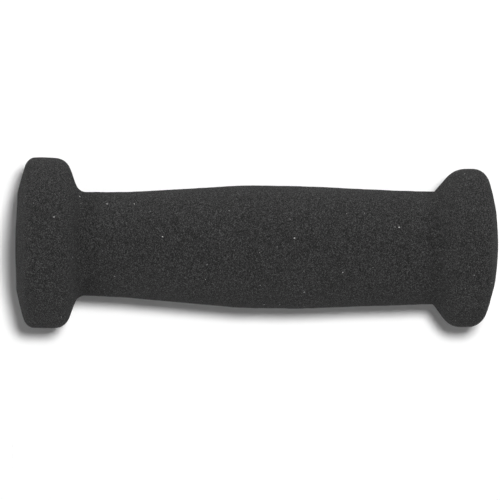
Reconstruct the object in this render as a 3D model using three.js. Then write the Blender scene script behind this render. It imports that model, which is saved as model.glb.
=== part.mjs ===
import * as THREE from 'three';
import { mergeVertices } from 'three/addons/utils/BufferGeometryUtils.js';

// A foam grip for a handlebar, in millimetres: one piece of ground closed-cell foam with a bore
// right through it, a flange at each end and a swell in between. It stands on its wider flange.
// The origin is the centre of the bore in that end's face, and +Z runs along the bore.

// Overall length, and the bore that stretches over the bar
const LENGTH = 130;
const BORE_RADIUS = 10;
const MOUTH_ROUNDING = 0.7;

// Wide end, from the standing face upwards. A wall is foam between the bore and the outside.
const WIDE_FACE_WALL = 3.2;
const WIDE_FACE_BLEND = 9;
const WIDE_CROWN_DEPTH = 2.7;
const WIDE_FLANGE_WALL = 13.1;
const WIDE_OUTER_ROUNDING = 3.3;
const WIDE_RIM_WIDTH = 10.7;
const WIDE_INNER_ROUNDING = 4.2;
const WIDE_SHOULDER_LENGTH = 3.4;
const WIDE_SHOULDER_FILLET = 2.8;

// Handhold between the flanges: a slim neck, a rise, the swell and a long fall
const NECK_WALL = 4;
const NECK_LENGTH = 13.7;
const NECK_TAPER = 0.35;
const NECK_BLEND = 150;
const RISE_LENGTH = 31.6;
const RISE_BLEND = 52;
const SWELL_WALL = 6.7;
const SWELL_LENGTH = 14.1;
const FALL_BLEND = 85;
const FALL_END_WALL = 5.4;

// Narrow end, from its face downwards
const NARROW_FACE_WALL = 2.3;
const NARROW_FACE_BLEND = 3.6;
const NARROW_CROWN_DEPTH = 2.7;
const NARROW_FLANGE_WALL = 11.6;
const NARROW_OUTER_ROUNDING = 4.4;
const NARROW_RIM_WIDTH = 8.2;
const NARROW_INNER_ROUNDING = 6.1;
const NARROW_SHOULDER_LENGTH = 5.1;
const NARROW_SHOULDER_FILLET = 0.6;

// Fineness of the surface: the furthest that an arc's chord may cut inside it
const CHORD_TOLERANCE = 0.03;
const SEGMENTS_AROUND = 64;
const WELD_DISTANCE = 1e-4;

// A corner of the section, at a height z and a wall thickness outside the bore
function corner(wall, z, rounding) {
  return { point: new THREE.Vector2(BORE_RADIUS + wall, z), rounding };
}

// Corners of the closed section: out over the wide face, up the outside, in over the narrow
// face and back down the bore
function sectionCorners() {
  const wideRimTop = WIDE_CROWN_DEPTH + WIDE_RIM_WIDTH;
  const neckStart = wideRimTop + WIDE_SHOULDER_LENGTH;
  const neckEnd = neckStart + NECK_LENGTH;
  const swellStart = neckEnd + RISE_LENGTH;
  const swellEnd = swellStart + SWELL_LENGTH;
  const narrowRimTop = LENGTH - NARROW_CROWN_DEPTH;
  const narrowRimBottom = narrowRimTop - NARROW_RIM_WIDTH;
  const fallEnd = narrowRimBottom - NARROW_SHOULDER_LENGTH;
  return [
    corner(0, 0, MOUTH_ROUNDING),
    corner(WIDE_FACE_WALL, 0, WIDE_FACE_BLEND),
    corner(WIDE_FLANGE_WALL, WIDE_CROWN_DEPTH, WIDE_OUTER_ROUNDING),
    corner(WIDE_FLANGE_WALL, wideRimTop, WIDE_INNER_ROUNDING),
    corner(NECK_WALL, neckStart, WIDE_SHOULDER_FILLET),
    corner(NECK_WALL + NECK_TAPER, neckEnd, NECK_BLEND),
    corner(SWELL_WALL, swellStart, RISE_BLEND),
    corner(SWELL_WALL, swellEnd, FALL_BLEND),
    corner(FALL_END_WALL, fallEnd, NARROW_SHOULDER_FILLET),
    corner(NARROW_FLANGE_WALL, narrowRimBottom, NARROW_INNER_ROUNDING),
    corner(NARROW_FLANGE_WALL, narrowRimTop, NARROW_OUTER_ROUNDING),
    corner(NARROW_FACE_WALL, LENGTH, NARROW_FACE_BLEND),
    corner(0, LENGTH, MOUTH_ROUNDING),
  ];
}

// Steps that keep an arc's chords within the tolerance
function arcSteps(radius, turn) {
  const chordTurn = 2 * Math.acos(Math.max(0, 1 - CHORD_TOLERANCE / radius));
  return Math.max(2, Math.ceil(Math.abs(turn) / chordTurn));
}

// Replaces each corner of a closed outline by an arc that is tangent to both of its sides.
// Where two arcs would meet on a side, both are cut back to what the side can hold.
function roundCorners(corners) {
  const count = corners.length;
  const sides = corners.map(({ point }, i) => corners[(i + 1) % count].point.clone().sub(point));
  const turns = sides.map((side, i) => {
    const before = sides[(i + count - 1) % count];
    return Math.atan2(before.cross(side), before.dot(side));
  });
  const wanted = corners.map(({ rounding }, i) => rounding * Math.abs(Math.tan(turns[i] / 2)));
  const room = sides.map((side, i) => side.length() / (wanted[i] + wanted[(i + 1) % count]));

  return corners.flatMap(({ point, rounding }, i) => {
    const before = sides[(i + count - 1) % count].clone().normalize();
    const share = Math.min(1, room[i], room[(i + count - 1) % count]);
    const radius = rounding * share;
    const start = point.clone().addScaledVector(before, -wanted[i] * share);
    const towardsCentre = new THREE.Vector2(-before.y, before.x).multiplyScalar(Math.sign(turns[i]));
    const centre = start.clone().addScaledVector(towardsCentre, radius);
    const steps = arcSteps(radius, turns[i]);
    return Array.from({ length: steps + 1 }, (_, k) =>
      start.clone().rotateAround(centre, (turns[i] * k) / steps));
  });
}

// The section turned round the bore's axis
function turnedSolid(section) {
  const closedSection = [...section, section[0].clone()];
  const turned = new THREE.LatheGeometry(closedSection, SEGMENTS_AROUND);
  turned.rotateX(Math.PI / 2);
  turned.deleteAttribute('normal');
  turned.deleteAttribute('uv');
  const solid = mergeVertices(turned, WELD_DISTANCE);
  solid.computeVertexNormals();
  return solid;
}

function foamGrip() {
  const foam = new THREE.MeshStandardMaterial({ color: 0x373737, roughness: 0.95, metalness: 0 });
  const grip = new THREE.Mesh(turnedSolid(roundCorners(sectionCorners())), foam);
  grip.name = 'foam_grip';
  return grip;
}

const part = new THREE.Group();
part.add(foamGrip());

export default part;
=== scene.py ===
import math

import bpy
import numpy as np
from mathutils import Matrix, Vector, noise


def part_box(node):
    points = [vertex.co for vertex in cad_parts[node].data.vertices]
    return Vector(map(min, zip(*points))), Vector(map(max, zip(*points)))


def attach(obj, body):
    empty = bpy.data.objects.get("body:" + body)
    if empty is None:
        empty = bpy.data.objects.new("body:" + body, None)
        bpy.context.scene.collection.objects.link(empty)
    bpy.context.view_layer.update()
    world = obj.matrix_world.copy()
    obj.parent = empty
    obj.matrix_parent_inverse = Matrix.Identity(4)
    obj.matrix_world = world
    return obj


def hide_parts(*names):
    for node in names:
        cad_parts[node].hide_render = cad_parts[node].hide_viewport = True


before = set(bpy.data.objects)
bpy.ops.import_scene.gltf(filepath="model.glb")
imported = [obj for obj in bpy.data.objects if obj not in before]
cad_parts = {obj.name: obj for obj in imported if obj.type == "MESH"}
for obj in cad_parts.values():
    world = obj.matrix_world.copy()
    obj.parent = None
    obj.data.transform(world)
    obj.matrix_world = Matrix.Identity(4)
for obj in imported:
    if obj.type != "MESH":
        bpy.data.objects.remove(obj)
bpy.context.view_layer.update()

# A foam handlebar grip that stands on its wide flange. All lengths are in metres.
GRIP_NODE = "foam_grip"
MM = 0.001
LOW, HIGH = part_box(GRIP_NODE)
LENGTH = HIGH.z - LOW.z
WIDE_RADIUS = HIGH.x
GRIP_MIDDLE = Vector((0, 0, LENGTH / 2))

# The photograph and its camera: a long lens, level with the wide end and rolled on its side, so
# that the grip's axis runs across the picture
PICTURE_SIZE = 500
PIXELS_PER_METRE = 3675
CAMERA_DISTANCE = 1.0
SENSOR_WIDTH = 36.0
TILT = math.radians(3.72)
ROLL = math.radians(0.70)
PIXELS_RIGHT_OF_CENTRE = 4.7
PIXELS_ABOVE_CENTRE = 5.0

# Fineness of the grip's mesh, and how exactly the turned node's points lie in one plane and in
# the bore
SKIN_STEP = 0.55 * MM
BORE_STEP = 4 * MM
AROUND = 216
POINT_DIGITS = 7
PLANE_TOLERANCE = 0.001 * MM
BORE_TOLERANCE = 0.01 * MM

# How the real foam departs from the plain turned shape: a bow, a narrow flange that leans by so
# much per metre off the axis, a wide shoulder that leans and sits higher, and a wide face that
# curves back towards its sides. The last three come in over their first range and go out over
# their second. The face's ranges are distances to the side, and the others are heights. The
# face's curve also goes out over a range of heights.
BOW = 0.5 * MM
NARROW_LEAN = 0.017
NARROW_LEAN_RANGES = ((LENGTH - 18 * MM, LENGTH - 9 * MM), (LENGTH - 6 * MM, LENGTH + 6 * MM))
SHOULDER_RISE = 0.27 * MM
SHOULDER_LEAN = 0.004
SHOULDER_RANGES = ((7 * MM, 15 * MM), (17 * MM, 26 * MM))
FACE_RISE = 0.36 * MM
FACE_RANGES = ((1 * MM, 12 * MM), (21 * MM, 26 * MM))
FACE_HEIGHTS = (3 * MM, 7 * MM)

# Lumps in the foam, each with its size and height. They come in over a small height above the
# floor, so that the grip stands flat.
LUMPS = ((9 * MM, 0.07 * MM), (3.2 * MM, 0.045 * MM), (1.3 * MM, 0.03 * MM))
FLAT_HEIGHT = 0.4 * MM

# Foam: a linear grey, its gloss, and the contrast and sizes of its mottling and broad patches
FOAM_GREY = 0.0328
ROUGHNESS = 0.95
DIFFUSE_ROUGHNESS = 0.3
GLOSS = 0.05
MOTTLE_SIZE = 0.8 * MM
MOTTLE_CONTRAST = 0.06
MOTTLE_DETAIL = 2
PATCH_SIZE = 14 * MM
PATCH_CONTRAST = 0.20
PATCH_DETAIL = 1

# Cells of the foam: random shades, skewed so that few are light, and painted shade in a pit at
# each one's middle, with its reach in cell sizes from the cell's middle. Their pattern is warped by
# so much.
CELL_SIZE = 0.16 * MM
CELL_DEPTH = 0.10 * MM
CELL_BUMP = 0.6
DARKEST_CELL = 0.45
CELL_SKEW = 3
PAINTED_PIT_REACH = (0.1, 0.6)
PAINTED_PIT_SHADE = (0.25, 1.25)
CELL_WARP = 0.12 * MM
WARP_SIZE = 0.30 * MM
WARP_DETAIL = 1

# Light specks: their spacing, their size, how uneven their outlines are, the share of places
# that has one, the lightest grey, and the skew that leaves few of them light
SPECK_SPACING = 1.8 * MM
SPECK_RADIUS = 0.16 * MM
SPECK_WARP = 0.34 * MM
SPECK_SHARE = 0.36
SPECK_GREY = 0.80
SPECK_SKEW = 4

# Painted shade in the hollow beside each flange, where the foam is drawn darker: heights, reach each
# way and darkest shade
PAINTED_SHADE_HEIGHTS = (18.6 * MM, LENGTH - 17 * MM)
PAINTED_SHADE_REACH = 5 * MM
DARKEST_PAINTED_SHADE = 0.89

# Light on a white surface that faces each source, where 1 renders as white. The key lamp is a
# disc beside the camera, placed to the right of it and above it in the picture. Each fill has
# the direction that its light comes from. The sky's two sides blend where the Y part of the
# direction is within the last value of nought.
KEY_LIGHT = 0.935
KEY_RIGHT = 97 * MM
KEY_ABOVE = 116 * MM
KEY_RADIUS = 70 * MM
FILLS = (
    ((-1, 0.05, 0), 0.28),
    ((0, 0.2, 1), 0.31),
    ((-1, 0.3, -1), 0.33),
    ((1, 0.3, -1), 0.34),
)
FILL_SPREAD = math.radians(40)
FRONT_SKY_LIGHT = 0.17
BACK_SKY_LIGHT = 0.74
SKY_BLEND = 0.1

# Wall behind the grip and floor under it. Each glows a little near the grip, and turns pure
# white between two distances from the grip's middle.
WHITE = (1, 1, 1, 1)
STAGE_REACH = 3.0
STAGE_FADE = (0.11, 0.25)
WALL_GAP = 0.5 * MM
WALL_GLOW = 0.01
FLOOR_GLOW = 0.19


# The grip's section, read from the turned CAD node

def section_of(node):
    """The closed section of a turned node, as (radius, height) points in order along its edges.

    It starts at the low end of the bore and goes out over the low face first.
    """
    in_plane = {
        vertex.index: (round(vertex.co.x, POINT_DIGITS), round(vertex.co.z, POINT_DIGITS))
        for vertex in node.data.vertices
        if vertex.co.x > 0 and abs(vertex.co.y) < PLANE_TOLERANCE
    }
    neighbours = {}
    for edge in node.data.edges:
        a, b = (in_plane.get(index) for index in edge.vertices)
        if a and b and a != b:
            neighbours.setdefault(a, set()).add(b)
            neighbours.setdefault(b, set()).add(a)
    section = [min(neighbours)]
    following = min(neighbours[section[0]], key=lambda point: point[1])
    while following != section[0]:
        section.append(following)
        following = next(point for point in neighbours[section[-1]] if point != section[-2])
    return [np.array(point) for point in section]


def curve_between(before, start, end, after, count):
    """Points from start towards end on the smooth curve that also passes before and after."""
    sides = ((before, start), (start, end), (end, after))
    gaps = [math.sqrt(np.linalg.norm(q - p)) for p, q in sides]
    slopes = [(q - p) / gap for (p, q), gap in zip(sides, gaps)]
    leaving = slopes[0] - (end - before) / (gaps[0] + gaps[1]) + slopes[1]
    arriving = slopes[1] - (after - start) / (gaps[1] + gaps[2]) + slopes[2]
    points = []
    for s in (step / count for step in range(count)):
        points.append(
            (2 * s**3 - 3 * s**2 + 1) * start
            + (s**3 - 2 * s**2 + s) * gaps[1] * leaving
            + (3 * s**2 - 2 * s**3) * end
            + (s**3 - s**2) * gaps[1] * arriving
        )
    return points


def fine_section(section):
    """The section as a smooth closed curve, in short steps on the skin and long ones in the bore."""
    bore_radius = min(point[0] for point in section)
    points = []
    for i, start in enumerate(section):
        before = section[i - 1]
        end = section[(i + 1) % len(section)]
        after = section[(i + 2) % len(section)]
        in_bore = max(start[0], end[0]) < bore_radius + BORE_TOLERANCE
        step = BORE_STEP if in_bore else SKIN_STEP
        count = max(1, math.ceil(np.linalg.norm(end - start) / step))
        points += curve_between(before, start, end, after, count)
    return np.array(points)


# The foam piece

def smooth_step(value, low, high):
    """Nought up to low and one from high, and eased between them."""
    share = np.clip((value - low) / (high - low), 0, 1)
    return share * share * (3 - 2 * share)


def within(value, rise, fall):
    """One between the two ranges, and eased to nought across each of them."""
    return smooth_step(value, *rise) * (1 - smooth_step(value, *fall))


def lumps_at(points):
    """How far the foam stands off its true surface at each point."""
    heights = np.zeros(len(points))
    for size, height in LUMPS:
        heights += [height * noise.noise(Vector(point) / size) for point in points]
    return heights


def out_of_true(points):
    """The points of the turned shape, moved to where the real foam has them."""
    x, z = points[:, 0].copy(), points[:, 2].copy()
    on_shoulder = within(z, *SHOULDER_RANGES)
    on_face = within(np.abs(x), *FACE_RANGES) * (1 - smooth_step(z, *FACE_HEIGHTS))
    points[:, 0] += BOW * (1 - (2 * z / LENGTH - 1) ** 2)
    points[:, 2] += (SHOULDER_RISE + SHOULDER_LEAN * x) * on_shoulder + FACE_RISE * on_face
    points[:, 2] -= NARROW_LEAN * x * within(z, *NARROW_LEAN_RANGES)
    return points


def grip_mesh(section):
    """The section turned round the Z axis, with the foam's lumps and its departures from true."""
    rows = len(section)
    along = np.roll(section, -1, axis=0) - np.roll(section, 1, axis=0)
    along /= np.linalg.norm(along, axis=1)[:, None]
    outward = np.stack([along[:, 1], -along[:, 0]], axis=1)
    angles = np.arange(AROUND) * 2 * math.pi / AROUND

    def turned(flat):
        return np.stack(
            [
                np.outer(flat[:, 0], np.cos(angles)),
                np.outer(flat[:, 0], np.sin(angles)),
                np.repeat(flat[:, 1:2], AROUND, axis=1),
            ],
            axis=2,
        ).reshape(-1, 3)

    points = turned(section)
    stand_off = lumps_at(points) * smooth_step(points[:, 2], 0, FLAT_HEIGHT)
    points += turned(outward) * stand_off[:, None]
    points = out_of_true(points)
    points[:, 2] = np.maximum(points[:, 2], LOW.z)

    row, column = np.meshgrid(np.arange(rows), np.arange(AROUND), indexing="ij")
    next_row, next_column = (row + 1) % rows, (column + 1) % AROUND
    corners = ((row, column), (row, next_column), (next_row, next_column), (next_row, column))
    faces = np.stack([r * AROUND + c for r, c in corners], axis=2).reshape(-1, 4)
    mesh = bpy.data.meshes.new("grip_foam")
    mesh.from_pydata(points.tolist(), [], faces.tolist())
    mesh.polygons.foreach_set("use_smooth", [True] * len(mesh.polygons))
    mesh.update()
    return mesh


# Nodes of the materials

def new_material(name):
    """A new material without nodes."""
    material = bpy.data.materials.new(name)
    material.use_nodes = True
    material.node_tree.nodes.clear()
    return material


def add_node(tree, kind, inputs=None, **settings):
    """A new node, whose inputs are linked to sockets or set to values."""
    node = tree.nodes.new(kind)
    for name, value in settings.items():
        setattr(node, name, value)
    for name, value in (inputs or {}).items():
        if isinstance(value, bpy.types.NodeSocket):
            tree.links.new(value, node.inputs[name])
        else:
            node.inputs[name].default_value = value
    return node


def calculate(tree, operation, *values):
    node = add_node(tree, "ShaderNodeMath", dict(enumerate(values)), operation=operation)
    return node.outputs[0]


def multiply(tree, first, *others):
    product = first
    for other in others:
        product = calculate(tree, "MULTIPLY", product, other)
    return product


def map_range(tree, value, old_ends, new_ends, interpolation="LINEAR"):
    """A value taken from one range to another, and held at its ends."""
    inputs = {
        "Value": value,
        "From Min": old_ends[0],
        "From Max": old_ends[1],
        "To Min": new_ends[0],
        "To Max": new_ends[1],
    }
    node = add_node(tree, "ShaderNodeMapRange", inputs, interpolation_type=interpolation)
    return node.outputs["Result"]


def cell_texture(tree, place, size):
    inputs = {"Vector": place, "Scale": 1 / size}
    return add_node(tree, "ShaderNodeTexVoronoi", inputs).outputs


def noise_texture(tree, place, size, detail):
    inputs = {"Vector": place, "Scale": 1 / size, "Detail": detail}
    return add_node(tree, "ShaderNodeTexNoise", inputs).outputs


def spread(tree, value, contrast):
    """A value around one half, turned into a factor around one."""
    return calculate(tree, "MULTIPLY_ADD", value, contrast, 1 - contrast / 2)


def warped(tree, place, most):
    """A place moved unevenly by up to so much along each axis, so that its pattern isn't regular."""
    offset = noise_texture(tree, place, WARP_SIZE, WARP_DETAIL)["Color"]
    inputs = {0: offset, 1: (most, most, most), 2: place}
    return add_node(tree, "ShaderNodeVectorMath", inputs, operation="MULTIPLY_ADD").outputs["Vector"]


# Foam material

def cell_grain_and_painted_pit_shade(tree, cells):
    """A random shade for each cell, times painted shade in the pit at its middle."""
    chance = add_node(tree, "ShaderNodeSeparateColor", {"Color": cells["Color"]}).outputs["Red"]
    skewed = calculate(tree, "POWER", chance, CELL_SKEW)
    shade_range = (1 - DARKEST_CELL) * (CELL_SKEW + 1)
    shade = calculate(tree, "MULTIPLY_ADD", skewed, shade_range, DARKEST_CELL)
    # the darker pit at each cell's middle is painted shade
    return multiply(tree, shade, map_range(tree, cells["Distance"], PAINTED_PIT_REACH, PAINTED_PIT_SHADE))


def painted_hollow_shade(tree, place):
    """One on most of the foam, and lower in the hollow beside each flange: painted shade."""
    height = add_node(tree, "ShaderNodeSeparateXYZ", {"Vector": place}).outputs["Z"]
    shade = 1.0
    for middle in PAINTED_SHADE_HEIGHTS:
        from_middle = calculate(tree, "ABSOLUTE", calculate(tree, "SUBTRACT", height, middle))
        band = map_range(tree, from_middle, (0.0, PAINTED_SHADE_REACH), (DARKEST_PAINTED_SHADE, 1.0), "SMOOTHSTEP")
        shade = multiply(tree, band, shade)
    return shade


def speck_grey(tree, place):
    """The grey of each light speck, and nought between them."""
    specks = cell_texture(tree, warped(tree, place, SPECK_WARP), SPECK_SPACING)
    chances = add_node(tree, "ShaderNodeSeparateColor", {"Color": specks["Color"]}).outputs
    near = calculate(tree, "LESS_THAN", specks["Distance"], SPECK_RADIUS / SPECK_SPACING)
    chosen = calculate(tree, "LESS_THAN", chances["Red"], SPECK_SHARE)
    skewed = calculate(tree, "POWER", chances["Green"], SPECK_SKEW)
    return multiply(tree, near, chosen, multiply(tree, skewed, SPECK_GREY))


def foam_material():
    """Black foam with cells, painted shade in their pits and in the hollows, mottling, broad patches
    and light specks.
    """
    material = new_material("ground_foam")
    tree = material.node_tree
    place = add_node(tree, "ShaderNodeTexCoord").outputs["Object"]
    cell_place = warped(tree, place, CELL_WARP)
    cells = cell_texture(tree, cell_place, CELL_SIZE)
    mottle = noise_texture(tree, cell_place, MOTTLE_SIZE, MOTTLE_DETAIL)["Fac"]
    patches = noise_texture(tree, cell_place, PATCH_SIZE, PATCH_DETAIL)["Fac"]
    grey = multiply(
        tree,
        # random grain times painted shade in each cell's pit
        cell_grain_and_painted_pit_shade(tree, cells),
        FOAM_GREY,
        spread(tree, mottle, MOTTLE_CONTRAST),
        spread(tree, patches, PATCH_CONTRAST),
        # painted shade in the hollows beside the flanges
        painted_hollow_shade(tree, place),
    )
    grey = calculate(tree, "MAXIMUM", grey, speck_grey(tree, place))
    bump = add_node(
        tree,
        "ShaderNodeBump",
        {"Height": cells["Distance"], "Distance": CELL_DEPTH, "Strength": CELL_BUMP},
    )
    shader = add_node(
        tree,
        "ShaderNodeBsdfPrincipled",
        {
            "Base Color": grey,
            "Roughness": ROUGHNESS,
            "Diffuse Roughness": DIFFUSE_ROUGHNESS,
            "Specular IOR Level": GLOSS,
            "Normal": bump.outputs["Normal"],
        },
    )
    add_node(tree, "ShaderNodeOutputMaterial", {"Surface": shader.outputs["BSDF"]})
    return material


def make_grip():
    mesh = grip_mesh(fine_section(section_of(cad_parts[GRIP_NODE])))
    mesh.materials.append(foam_material())
    grip = bpy.data.objects.new("grip_foam", mesh)
    bpy.context.scene.collection.objects.link(grip)
    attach(grip, "root")
    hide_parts(GRIP_NODE)


# Stage, lamps and camera

def stage_material(name, least_glow):
    """White with the grip's shadow where the camera sees its front, and clear to all other rays."""
    material = new_material(name)
    tree = material.node_tree
    camera_ray = add_node(tree, "ShaderNodeLightPath").outputs["Is Camera Ray"]
    place = add_node(tree, "ShaderNodeTexCoord").outputs["Object"]
    inputs = {0: place, 1: GRIP_MIDDLE}
    distance = add_node(tree, "ShaderNodeVectorMath", inputs, operation="DISTANCE").outputs["Value"]
    glow = map_range(tree, distance, STAGE_FADE, (least_glow, 1.0), "SMOOTHSTEP")
    white = add_node(tree, "ShaderNodeBsdfDiffuse", {"Color": WHITE})
    glowing = add_node(tree, "ShaderNodeEmission", {"Strength": multiply(tree, camera_ray, glow)})
    front = add_node(tree, "ShaderNodeAddShader", {0: white.outputs[0], 1: glowing.outputs[0]})
    from_behind = add_node(tree, "ShaderNodeNewGeometry").outputs["Backfacing"]
    seen = multiply(tree, camera_ray, calculate(tree, "SUBTRACT", 1.0, from_behind))
    clear = add_node(tree, "ShaderNodeBsdfTransparent")
    inputs = {0: seen, 1: clear.outputs[0], 2: front.outputs[0]}
    surface = add_node(tree, "ShaderNodeMixShader", inputs)
    add_node(tree, "ShaderNodeOutputMaterial", {"Surface": surface.outputs[0]})
    return material


def stage_plane(name, corners, least_glow):
    mesh = bpy.data.meshes.new(name)
    mesh.from_pydata(corners, [], [(0, 1, 2, 3)])
    mesh.materials.append(stage_material(name, least_glow))
    plane = bpy.data.objects.new(name, mesh)
    bpy.context.scene.collection.objects.link(plane)


def make_stage():
    """The floor that the grip stands on, and the wall that its wide flange nearly touches."""
    reach = STAGE_REACH
    square = ((-reach, -reach), (reach, -reach), (reach, reach), (-reach, reach))
    wall_y = WIDE_RADIUS + WALL_GAP
    stage_plane("floor", [(x, y, 0) for x, y in square], FLOOR_GLOW)
    stage_plane("wall", [(x, wall_y, z) for x, z in square], WALL_GLOW)


def make_fill(comes_from, light):
    """A broad soft light from one side of the grip."""
    lamp = bpy.data.lights.new("fill", "SUN")
    lamp.energy = math.pi * light
    lamp.angle = FILL_SPREAD
    sun = bpy.data.objects.new("fill", lamp)
    sun.rotation_mode = "QUATERNION"
    sun.rotation_quaternion = Vector(comes_from).to_track_quat("Z", "Y")
    bpy.context.scene.collection.objects.link(sun)


def make_key():
    """A disc lamp beside the camera, whose shadow falls down and to the left in the picture."""
    lamp = bpy.data.lights.new("key", "AREA")
    lamp.shape = "DISK"
    lamp.size = 2 * KEY_RADIUS
    lamp.energy = (math.pi * CAMERA_DISTANCE) ** 2 * KEY_LIGHT
    key = bpy.data.objects.new("key", lamp)
    camera = bpy.context.scene.camera.matrix_world.translation
    key.location = camera + Vector((-KEY_ABOVE, 0, KEY_RIGHT))
    key.rotation_mode = "QUATERNION"
    key.rotation_quaternion = (key.location - GRIP_MIDDLE).to_track_quat("Z", "Y")
    bpy.context.scene.collection.objects.link(key)


def make_sky():
    """A white surround that gives little light from the camera's side and more from behind."""
    world = bpy.data.worlds.new("sky")
    world.use_nodes = True
    bpy.context.scene.world = world
    tree = world.node_tree
    tree.nodes.clear()
    direction = add_node(tree, "ShaderNodeTexCoord").outputs["Generated"]
    away = add_node(tree, "ShaderNodeSeparateXYZ", {"Vector": direction}).outputs["Y"]
    light = map_range(tree, away, (-SKY_BLEND, SKY_BLEND), (FRONT_SKY_LIGHT, BACK_SKY_LIGHT))
    path = add_node(tree, "ShaderNodeLightPath").outputs
    seen = calculate(tree, "MAXIMUM", path["Is Camera Ray"], path["Is Glossy Ray"])
    seen = calculate(tree, "MAXIMUM", seen, path["Is Transmission Ray"])
    strength = calculate(tree, "MAXIMUM", seen, light)
    sky = add_node(tree, "ShaderNodeBackground", {"Color": WHITE, "Strength": strength})
    add_node(tree, "ShaderNodeOutputWorld", {"Surface": sky.outputs[0]})


def make_light():
    make_key()
    for comes_from, light in FILLS:
        make_fill(comes_from, light)
    make_sky()


def make_camera():
    """Places the camera from where the grip lies in its view: right, down and away from it."""
    axis = Vector((math.cos(ROLL) * math.cos(TILT), math.sin(ROLL) * math.cos(TILT), math.sin(TILT)))
    down = Vector((-math.sin(ROLL), math.cos(ROLL), 0))
    away = axis.cross(down)
    right_of_centre = PIXELS_RIGHT_OF_CENTRE / PIXELS_PER_METRE
    above_centre = PIXELS_ABOVE_CENTRE / PIXELS_PER_METRE
    middle = Vector((right_of_centre, -above_centre, CAMERA_DISTANCE))
    foot = middle - axis * LENGTH / 2
    in_view = Matrix((down, away, axis))
    location = in_view @ -foot
    picture_axes = (Vector((1, 0, 0)), Vector((0, -1, 0)), Vector((0, 0, -1)))
    turn = Matrix([in_view @ direction for direction in picture_axes]).transposed()

    camera = bpy.data.objects.new("camera", bpy.data.cameras.new("camera"))
    camera.data.sensor_width = SENSOR_WIDTH
    camera.data.lens = PIXELS_PER_METRE * CAMERA_DISTANCE / PICTURE_SIZE * SENSOR_WIDTH
    camera.matrix_world = Matrix.Translation(location) @ turn.to_4x4()
    bpy.context.scene.collection.objects.link(camera)
    bpy.context.scene.camera = camera


make_camera()
make_grip()
make_stage()
make_light()
bpy.context.scene.view_settings.view_transform = "Standard"
